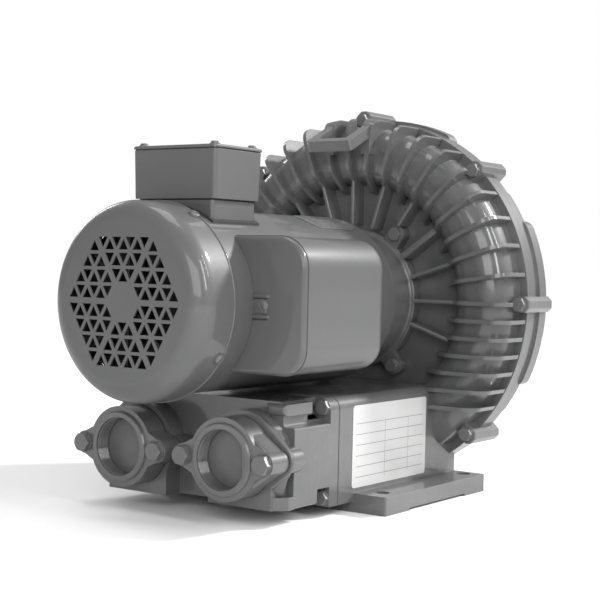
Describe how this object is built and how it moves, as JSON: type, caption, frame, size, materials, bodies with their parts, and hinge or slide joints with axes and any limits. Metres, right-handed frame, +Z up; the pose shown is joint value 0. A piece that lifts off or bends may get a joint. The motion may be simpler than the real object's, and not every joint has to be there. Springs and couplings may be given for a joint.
{
  "type": "side channel blower",
  "caption": "Side channel blower: ribbed ring casing with side-by-side ports, a base box on feet, and a close-coupled fan-cooled motor with conduit box, capacitor cover and lifting loop.",
  "frame": {"origin": "on the floor, at the middle of the four holes in the feet, straight below the shaft", "axes": "+Z up; the shaft runs along Y, with the motor's cooling fan and both ports at the -Y end and the blower wheel at the +Y end; +X is the side with the capacitor cover"},
  "size_m": [0.415, 0.4685, 0.41],
  "materials": {
    "enamelled_casting": "glossy grey enamel over a sand-cast surface",
    "enamelled_steel": "glossy grey enamel over rolled and pressed sheet steel",
    "enamelled_fastener": "enamelled over with the machine, worn bright on the corners",
    "machined_steel": "turned and ground",
    "wheel_aluminium": "bare cast and turned aluminium",
    "copper_winding": "varnished copper wire, brass standing for copper",
    "lamination": "stacked punched steel, varnished",
    "gasket": "matt black sheet",
    "foam": "open-cell acoustic foam",
    "plastic_black": "moulded, slightly rough",
    "plastic_fan": "moulded black fan",
    "plug_grey": "moulded plug, sprayed over with the machine",
    "capacitor_can": "drawn bare can",
    "label_white": null,
    "nameplate_metal": "thin plate sprayed over with the machine"
  },
  "bodies": {
    "root": {"blower_housing": "enamelled_casting", "blower_cover": "enamelled_casting", "rim_bolts": "enamelled_fastener", "lifting_loop": "enamelled_casting", "port_manifold": "enamelled_casting", "manifold_gasket": "gasket", "manifold_bolts": "enamelled_fastener", "inlet_flange": "enamelled_casting", "outlet_flange": "enamelled_casting", "inlet_gasket": "gasket", "outlet_gasket": "gasket", "port_flange_bolts": "enamelled_fastener", "inlet_plug": "plug_grey", "outlet_plug": "plug_grey", "inlet_muffler": "foam", "outlet_muffler": "foam", "rating_label": "label_white", "fan_bearing_outer": "machined_steel", "drive_bearing_outer": "machined_steel", "shaft_seal": "gasket", "motor_frame": "enamelled_steel", "drive_end_bell": "enamelled_casting", "motor_mount_bolts": "enamelled_fastener", "fan_end_bell": "enamelled_casting", "through_bolts": "enamelled_fastener", "stator_core": "lamination", "stator_windings": "copper_winding", "fan_cowl": "enamelled_steel", "cowl_screws": "enamelled_fastener", "capacitor_cover": "enamelled_steel", "capacitor_cover_screw": "enamelled_fastener", "capacitor_bracket": "machined_steel", "start_capacitor": "capacitor_can", "run_capacitor": "capacitor_can", "riser_gasket": "gasket", "conduit_riser": "enamelled_casting", "conduit_gasket": "gasket", "conduit_box": "enamelled_casting", "lid_gasket": "gasket", "conduit_lid": "enamelled_casting", "lid_screws": "enamelled_fastener", "terminal_block": "plastic_black", "motor_nameplate": "nameplate_metal"},
    "rotor": {"motor_shaft": "machined_steel", "rotor_core": "lamination", "cooling_fan": "plastic_fan", "impeller": "wheel_aluminium", "impeller_key": "machined_steel", "impeller_bolt": "machined_steel", "fan_bearing_inner": "machined_steel", "drive_bearing_inner": "machined_steel"},
    "fan_cage": {"fan_bearing_cage": "machined_steel", "fan_bearing_balls": "machined_steel"},
    "drive_cage": {"drive_bearing_cage": "machined_steel", "drive_bearing_balls": "machined_steel"}
  },
  "joints": [
    {"name": "shaft_spin", "type": "hinge", "parent": "root", "child": "rotor", "pos_m": [0, 0, 0.2025], "axis": [0, 1, 0], "continuous": true},
    {"name": "fan_cage_spin", "type": "hinge", "parent": "root", "child": "fan_cage", "pos_m": [0, 0, 0.2025], "axis": [0, 1, 0], "continuous": true},
    {"name": "drive_cage_spin", "type": "hinge", "parent": "root", "child": "drive_cage", "pos_m": [0, 0, 0.2025], "axis": [0, 1, 0], "continuous": true}
  ],
  "couplings": [
    {"joint": "fan_cage_spin", "follows": "shaft_spin", "ratio": 0.3987},
    {"joint": "drive_cage_spin", "follows": "shaft_spin", "ratio": 0.3987}
  ]
}
